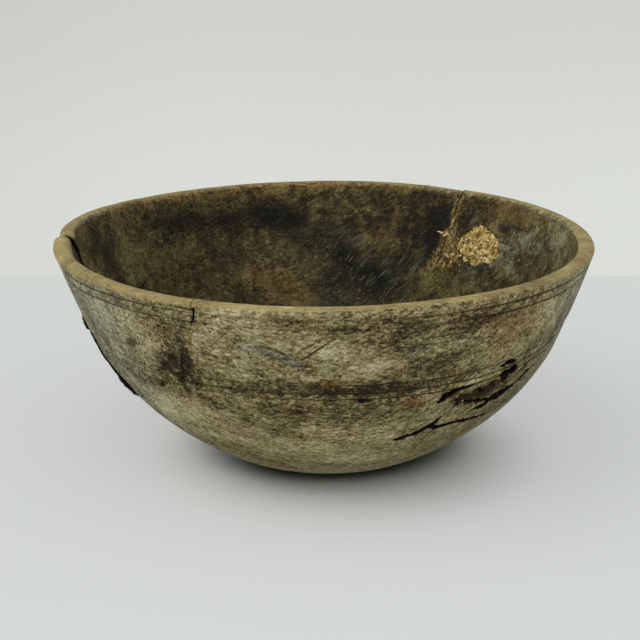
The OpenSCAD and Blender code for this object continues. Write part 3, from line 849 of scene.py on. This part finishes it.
def wood_noises(g):
    """The noises that the bowl's colours and its bump share."""
    at = g.object_mm()
    turned = g.attribute("turned", "Vector")
    fibre = g.stretched(at, (16, 1, 1), (0, 3, 0))
    return dict(
        large=g.noise(at, 34, 3, 0.55, 0.5),
        middle=g.noise(at, 10, 4, 0.6, 0.6),
        small=g.noise(at, 3.0, 4, 0.66, 0.3),
        tiny=g.noise(at, 1.4, 2, 0.6),
        grain=g.noise(fibre, 1.2, 4, 0.7, 0.2),
        streaks=g.noise(fibre, 5, 4, 0.62, 0.4),
        strokes=g.noise(g.stretched(at, (5, 1, 1), (0, 14, 0)), 1.3, 3, 0.7, 0.3),
        crossing=g.noise(g.stretched(at, (5, 1, 1), (0, -32, 10)), 1.6, 3, 0.66, 0.3),
        turning=g.noise(g.stretched(turned, (14, 14, 1)), 0.9, 3, 0.66, 0.2),
        down=g.noise(g.stretched(turned, (1, 1, 9)), 1.5, 4, 0.7, 0.3),
        strands=g.noise(g.stretched(at, (1, 1, 7), (0, 18, 0)), 1.2, 3, 0.7, 0.4))


def blotch(g, kind):
    """A stain with its edge broken by the noise."""
    spread = g.tone(0.0, middle=1.5, small=1.1, crossing=0.8)
    field = g.attribute(kind)
    return g.step(g.add(field, g.times(spread, g.step(field, 0.0, 0.5))), 0.12, 1.0)


def outer_colour(g, level, end_grain, vertical):
    across = g.tone(0.0, grain=0.5, strokes=1.0, streaks=0.4)
    lengthwise = g.times(across, g.math("SUBTRACT", 1.0, g.times(end_grain, 0.6)))
    tone = g.add(g.tone(0.5, large=0.6, middle=0.75, small=0.5, tiny=1.1, crossing=1.0, turning=0.5),
                 lengthwise, vertical, level)
    colour = g.ramp(tone, (0.05, 38, 30, 16), (0.28, 84, 69, 40), (0.45, 121, 106, 69),
                    (0.62, 149, 136, 97), (0.85, 182, 170, 130), (1.0, 208, 198, 160))
    olive = g.ramp(tone, (0.05, 36, 31, 14), (0.3, 83, 75, 42), (0.6, 136, 127, 86), (0.95, 190, 182, 140))
    at = g.object_mm()
    clouds = g.step(g.noise(at, 27, 3, 0.6, 0.8), 0.42, 0.62)
    colour = g.mix(g.times(clouds, 0.8), colour, olive)
    satin = g.ramp(tone, (0.1, 58, 54, 38), (0.35, 104, 101, 80), (0.6, 144, 141, 117), (0.9, 190, 187, 158))
    colour = g.mix(g.times(end_grain, 0.75), colour, satin)
    colour = g.stained(
        colour, 0.85,
        warm=g.ramp(tone, (0.1, 46, 28, 13), (0.35, 96, 66, 34), (0.6, 142, 108, 64), (0.9, 176, 148, 104)),
        grey=g.ramp(tone, (0.1, 32, 29, 23), (0.4, 84, 80, 68), (0.65, 120, 115, 99), (0.9, 160, 155, 134)),
        soot=g.ramp(tone, (0.15, 16, 11, 6), (0.45, 44, 34, 20), (0.62, 76, 62, 39), (0.85, 160, 146, 108)))

    # light strokes, dark specks and the darker turned lines
    light = g.step(g.noise(g.stretched(at, (4, 1, 1), (0, 20, 0)), 1.5, 2, 0.6), 0.60, 0.72)
    colour = g.mix(g.times(light, 0.3), colour, rgb(196, 184, 146))
    where = g.step(g.add(g.attribute("dark"), g.noises["large"]), 0.35, 0.9)
    specks = g.times(g.step(g.noise(at, 2.0, 2, 0.5), 0.63, 0.70), where)
    colour = g.mix(g.times(specks, 0.5), colour, rgb(46, 38, 24))
    lines = g.edge("groove", 0.18, 0.66, streaks=0.9, small=0.6)
    return g.mix(g.times(lines, 0.84), colour, rgb(50, 42, 21))


def inner_colour(g, level):
    tone = g.add(g.tone(0.465, large=0.6, middle=0.9, small=0.7, tiny=0.6, crossing=0.8, grain=0.6),
                 g.times(level, 0.8))
    colour = g.ramp(tone, (0.05, 12, 9, 4), (0.28, 40, 32, 17), (0.45, 66, 56, 31),
                    (0.62, 90, 79, 47), (0.85, 136, 124, 84), (1.0, 172, 161, 120))
    colour = g.stained(
        colour, 0.8,
        moss=g.ramp(tone, (0.1, 34, 29, 12), (0.35, 70, 63, 31), (0.6, 100, 93, 52), (0.9, 136, 128, 84)),
        warm=g.ramp(tone, (0.1, 40, 28, 12), (0.35, 78, 60, 31), (0.6, 114, 94, 54), (0.9, 150, 128, 84)),
        grey=g.ramp(tone, (0.1, 24, 24, 16), (0.35, 62, 61, 46), (0.6, 104, 102, 80), (0.9, 146, 144, 120)),
        soot=g.ramp(tone, (0.2, 9, 10, 7), (0.45, 24, 26, 19), (0.7, 52, 53, 41), (0.95, 98, 97, 74)),
        tan=g.ramp(g.tone(0.5, strands=1.8, tiny=1.0), (0.1, 48, 35, 17), (0.4, 108, 87, 48),
                   (0.65, 156, 132, 82), (0.95, 204, 184, 134)))

    # scratches where the inside was worked, and tiny white flecks
    at = g.object_mm()
    scratch = g.noise(g.stretched(at, (26, 1.6, 1), (0, -52, 0)), 1.1, 2, 0.5)
    scratched = g.times(g.step(scratch, 0.57, 0.66), g.edge("worked", 0.1, 0.6, large=1.0))
    colour = g.mix(g.times(scratched, 0.5), colour, rgb(112, 108, 82))
    flecks = g.times(g.flecks(at, 2.6, 0.12, 0.1), g.step(g.noises["middle"], 0.45, 0.6))
    return g.mix(flecks, colour, rgb(196, 194, 176))


def rim_colour(g, level):
    tone = g.add(g.tone(0.5, middle=0.5, small=0.5, tiny=0.4, grain=0.7, strokes=0.4, large=0.8),
                 g.times(level, 0.4))
    colour = g.ramp(tone, (0.1, 70, 58, 34), (0.32, 118, 103, 66), (0.5, 148, 131, 87),
                    (0.7, 169, 152, 105), (0.95, 198, 186, 144))
    browned = g.ramp(tone, (0.1, 58, 42, 20), (0.4, 104, 84, 48), (0.65, 138, 118, 76), (0.95, 176, 158, 116))
    return g.stained(colour, 0.8, warm=browned)


def broken(g, colour):
    """The colour with broken wood, honey-brown where it is shallow, and painted shade, near black, deep in
    the cracks and holes.
    """
    splinters = g.ramp(g.noises["grain"], (0.35, 50, 38, 20), (0.65, 124, 102, 62))
    crusted = g.stained(splinters, 0.8, soot=rgb(36, 27, 15))
    colour = g.mix(g.edge("bare_wood_and_crack_shade", 0.08, 0.22, small=0.15), colour, crusted)
    # painted shade: near black in the cuts, only deeper down where the soft spots are
    kept = g.times(g.math("MINIMUM", g.attribute("soft"), 1.0), 0.55)
    deep = g.step(g.math("SUBTRACT", g.attribute("bare_wood_and_crack_shade"), kept), 0.05, 0.2)
    colour = g.mix(deep, colour, rgb(13, 8, 6))
    honey = g.ramp(g.tone(0.55, strands=1.4, small=1.6, tiny=1.2), (0.1, 56, 38, 16),
                   (0.35, 130, 96, 42), (0.6, 192, 152, 78), (0.9, 232, 210, 146))
    colour = g.mix(g.edge("torn", 0.4, 0.6, small=1.2), colour, honey)
    # painted shade: the gap behind the wedge's left edge, near black on the wall beside it
    return g.mix(g.times(g.attribute("lip_gap_shade"), 0.9), colour, rgb(22, 18, 12))


def aged_wood():
    g = Graph("aged_wood")
    g.noises = wood_noises(g)
    g.stains = {kind: blotch(g, kind) for kind in ("soot", "warm", "moss", "grey", "tan")}
    level = g.add(g.times(g.attribute("pale"), 0.30), g.times(g.attribute("dark"), -0.34))
    end_grain = g.attribute("end_grain")
    vertical = g.times(g.tone(0.0, down=1.3), end_grain)
    inside = g.attribute("inside")
    colour = g.mix(inside, outer_colour(g, level, end_grain, vertical), inner_colour(g, level))
    colour = g.mix(g.edge("rim", 0.3, 0.7, middle=0.8), colour, rim_colour(g, level))
    colour = broken(g, colour)
    roughness = g.math("ADD", g.tone(0.78, small=0.5, large=0.4), g.times(inside, -0.10), True)
    height = g.add(
        g.tone(0.0, middle=0.0009, small=0.0006, grain=0.0006, tiny=0.0002, turning=0.0005, streaks=0.0006),
        g.times(vertical, 0.0003), g.times(g.attribute("groove"), -0.00025))
    return g.finish(colour, roughness, height)


bowl = shape_bowl()
bowl.data.shade_smooth()
bowl.data.set_sharp_from_angle(angle=math.radians(42))
bowl.data.materials.clear()
bowl.data.materials.append(aged_wood())
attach(bowl, "root")
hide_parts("bowl")

# ---- Torn fibres: curled flakes in the patch on the inner wall and along the far crack ----


FLAKE_RINGS, FLAKE_CORNERS = 6, 4
FLAKE_HALF_THICK = 0.22


def flake(place, out, along, length, width, lift, curl):
    """Points of a curled, tapering flake, ring by ring."""
    across = np.cross(out, along)
    rings = []
    for t in np.linspace(0, 1, FLAKE_RINGS):
        middle = place + along * length * (t - 0.5) + out * (lift * math.sin(math.pi * t) + curl * t * t)
        half = across * width / 2 * math.sin(math.pi * (0.07 + 0.86 * t)) ** 0.7
        thick = out * FLAKE_HALF_THICK
        under, over = middle - thick, middle + thick
        rings.append([under - half, under + half, over + half * 0.8, over - half * 0.8])
    return np.array(rings).reshape(-1, 3)


def in_patch(spread=1.0):
    """A random place in the torn patch, inside its ragged edge."""
    while True:
        u, v = RNG.uniform(-spread, spread, 2)
        edge = 1 + 0.3 * noise(np.array([[u * 12, v * 9, 0]]), 6, 5, 2)[0]
        if math.hypot(u, v) < edge * spread:
            return 43 + 7.2 * u, 90.4 + 11 * v


def flake_places():
    """Azimuth, height, turn from level, length, width, lift and shade of each flake."""
    rows = []

    def add(place, turn, length, width, lift, *shade):
        """Draws a flake at a place: its turn about a mean, and the rest between limits."""
        row = (*place, RNG.normal(*turn), RNG.uniform(*length), RNG.uniform(*width), RNG.uniform(*lift))
        rows.append((*row, shade[0] if len(shade) == 1 else RNG.uniform(*shade)))

    for _ in range(110):                          # broad flakes of the torn patch
        add(in_patch(), (66, 40), (3.5, 7.5), (1.6, 3.4), (-0.6, 0.5), 0.25, 0.72)
    for _ in range(80):                           # thin strands among them
        add(in_patch(), (62, 44), (2.5, 6), (0.5, 1.0), (0.2, 1.2), 0.0, 0.8)
    for _ in range(30):                           # pale curls that stand up
        add(in_patch(0.9), (50, 50), (2.5, 5), (0.8, 1.6), (0.8, 1.8), 0.75, 1.0)
    for _ in range(30):                           # sparser towards the lower left corner
        add((RNG.normal(49.4, 1.4), RNG.normal(85, 3.6)), (60, 40), (2, 4.5), (0.5, 1.6), (0, 1), 0.1, 0.8)
    for _ in range(46):                           # loose strands beyond it
        u = RNG.uniform(0, 1)
        place = (48 + 5 * u + RNG.normal(0, 1), 84 - 8 * u + RNG.normal(0, 2.2))
        add(place, (40, 40), (1.6, 4), (0.5, 1.2), (0, 0.9), 0.05, 0.55)
    for _ in range(8):                            # the light chip beside the crack
        place = (54.9 + RNG.normal(0, 0.6), 94.6 + RNG.normal(0, 0.6))
        add(place, (-14, 12), (2.5, 4.5), (0.8, 1.6), (0, 1), 0.75)
    crack_azimuths, crack_heights = list(zip(*FAR_CRACK[::-1]))[:2]
    for z in np.arange(82, 119, 0.8):             # both lips of the far crack
        side = RNG.choice([-1, 1])
        azimuth = np.interp(z, crack_heights, crack_azimuths) + side * RNG.uniform(0.3, 0.9)
        add((azimuth, z), (90, 16), (2, 5), (0.6, 1.4), (0, 0.8), -0.3, 0.2)
    return rows


def torn_fibres():
    points, shades, faces = [], [], []
    for n, (azimuth, z, turn, length, width, lift, shade) in enumerate(flake_places()):
        place, out, level, up = wall_frame(INNER, -1, azimuth, z)
        a = math.radians(turn)
        along = level * math.cos(a) + up * math.sin(a)
        place = place + out * RNG.uniform(-1.9, -0.1)
        points.append(flake(place, out, along, length, width, lift, RNG.uniform(-0.8, 1.0)))
        shades.append(shade + np.repeat(np.linspace(-0.15, 0.15, FLAKE_RINGS), FLAKE_CORNERS))
        faces += tube_faces(FLAKE_RINGS, FLAKE_CORNERS, n * FLAKE_RINGS * FLAKE_CORNERS)
    made = mesh_object("torn_fibres", warped(np.vstack(points)), faces)
    store(made.data, "shade", np.concatenate(shades))
    made.data.materials.append(torn_wood())
    return made


def torn_wood():
    g = Graph("torn_wood")
    at = g.object_mm()
    fine = g.noise(at, 0.9, 3, 0.6)
    tone = g.add(g.times(g.attribute("shade"), 0.8), g.swing(fine, 0.9), 0.2)
    colour = g.ramp(tone, (0.0, 60, 49, 26), (0.25, 108, 90, 50), (0.45, 164, 136, 74),
                    (0.7, 204, 176, 108), (0.98, 238, 224, 172))
    return g.finish(colour, g.math("ADD", 0.8, g.swing(fine, 0.3), True), g.times(g.swing(fine, 1.0), 0.0002))


fibres = torn_fibres()
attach(fibres, "root")

# ---- Stage, lights and camera ----

# painted light: the floor and wall glow to the camera at this level and share, lifting the shadow
EVEN_LEVEL, EVEN_SHARE = 0.92, 0.6
SHADOW_MIDDLE = (0.016, -0.028, 0)        # in metres
CONTACT_SHADOW_COLOUR = (0.05, 0.05, 0.045, 1)    # painted contact shadow, where the paper and the foot close in on each other


def paper(name, colour, left_painted_shade, high_painted_shade):
    """Plain paper with painted shade, a little darker far to the left and high up. Shades are shares of the
    colour.

    Away from the foot the camera sees part of it glow at an even level, painted light which keeps
    the shadow soft, and where little light gets in beside the foot it sees it darker, a painted
    contact shadow. From behind or below it sees through the paper.
    """
    g = Graph(name)
    at = g.node("TexCoord").outputs["Object"]
    place = g.node("SeparateXYZ", {0: at}).outputs
    # painted shade: the paper darkens far to the left and high up
    left = g.mix(g.step(place["X"], -0.05, -0.4), (1, 1, 1, 1), (left_painted_shade,) * 3 + (1,))
    high = g.mix(g.step(place["Z"], 0.04, 0.24), (1, 1, 1, 1), (high_painted_shade,) * 3 + (1,))
    colour = g.mix(1.0, g.mix(1.0, (*colour, 1), left, "MULTIPLY"), high, "MULTIPLY")
    seen_directly = g.node("LightPath").outputs["Is Camera Ray"]
    # painted shade: the camera sees the paper darker where little light gets in beside the foot
    open_air = g.node("AmbientOcclusion", {"Distance": 0.15}, samples=16).outputs["AO"]
    closed = g.times(seen_directly, g.step(open_air, 0.27, 0.1))
    material = g.finish(g.mix(closed, colour, CONTACT_SHADOW_COLOUR), 0.9, 0.0)
    # painted light: an even glow seen by the camera, more of it away from the foot
    even = g.node("Emission", {"Color": colour, "Strength": EVEN_LEVEL}).outputs[0]
    away = g.node("VectorMath", {0: at, 1: SHADOW_MIDDLE}, operation="DISTANCE").outputs["Value"]
    share = g.times(seen_directly, g.times(g.step(away, 0.05, 0.125), EVEN_SHARE))
    seen = g.node("MixShader", {0: share, 1: g.shader.outputs[0], 2: even}).outputs[0]
    hidden = g.times(seen_directly, g.node("NewGeometry").outputs["Backfacing"])
    clear = g.node("BsdfTransparent").outputs[0]
    through = g.node("MixShader", {0: hidden, 1: seen, 2: clear}).outputs[0]
    g.put(g.tree.nodes["Material Output"], {"Surface": through})
    return material


STAGE_HALF, STAGE_FRONT, STAGE_TOP = 3000, -2500, 2500
WALL_Y = 350                      # the floor runs on a little under the wall


def backdrop(name, near, far, colour, left_painted_shade, high_painted_shade):
    """A sheet of paper between a near and a far edge, each at a y and a height."""
    corners = [(-STAGE_HALF, *near), (STAGE_HALF, *near), (STAGE_HALF, *far), (-STAGE_HALF, *far)]
    made = mesh_object(name, corners, [(0, 1, 2, 3)])
    made.data.materials.append(paper(name + "_paper", colour, left_painted_shade, high_painted_shade))
    return made


def stage():
    floor = backdrop("floor", (STAGE_FRONT, 0), (WALL_Y + 2, 0), (0.70, 0.717, 0.70), 0.94, 1.0)
    wall = backdrop("wall", (WALL_Y, 0), (WALL_Y, STAGE_TOP), (0.81, 0.825, 0.78), 0.88, 0.86)


def lamp(name, place, target, size, power, colour=(1, 1, 1)):
    data = bpy.data.lights.new(name, "AREA")
    data.size = size
    data.energy = power
    data.color = colour
    made = bpy.data.objects.new(name, data)
    bpy.context.scene.collection.objects.link(made)
    made.location = place
    made.rotation_euler = (Vector(target) - Vector(place)).to_track_quat("-Z", "Y").to_euler()


def lights():
    world = bpy.data.worlds.new("world")
    bpy.context.scene.world = world
    world.use_nodes = True
    world.node_tree.nodes["Background"].inputs["Color"].default_value = (0.95, 0.98, 1, 1)
    world.node_tree.nodes["Background"].inputs["Strength"].default_value = 1.0
    lamp("key", (-0.95, -0.15, 1.35), (0, 0, 0.05), 1.8, 11, (1, 0.985, 0.95))


def camera():
    data = bpy.data.cameras.new("camera")
    data.sensor_width = 36
    data.lens = 90
    made = bpy.data.objects.new("camera", data)
    bpy.context.scene.collection.objects.link(made)
    distance, elevation = 0.9176, math.radians(17.48)
    aim = Vector((0, 0, 0.0604))
    made.location = aim + Vector((0, -distance * math.cos(elevation), distance * math.sin(elevation)))
    turn = Matrix.Rotation(math.radians(90) - elevation, 3, "X")
    pan, tilt, roll = math.radians(0.124), math.radians(0.596), math.radians(-0.12)
    turn = turn @ Matrix.Rotation(tilt, 3, "X") @ Matrix.Rotation(pan, 3, "Y") @ Matrix.Rotation(roll, 3, "Z")
    made.rotation_euler = turn.to_euler()
    data.clip_start, data.clip_end = 0.01, 20
    bpy.context.scene.camera = made


stage()
lights()
camera()
bpy.context.scene.view_settings.view_transform = "Standard"
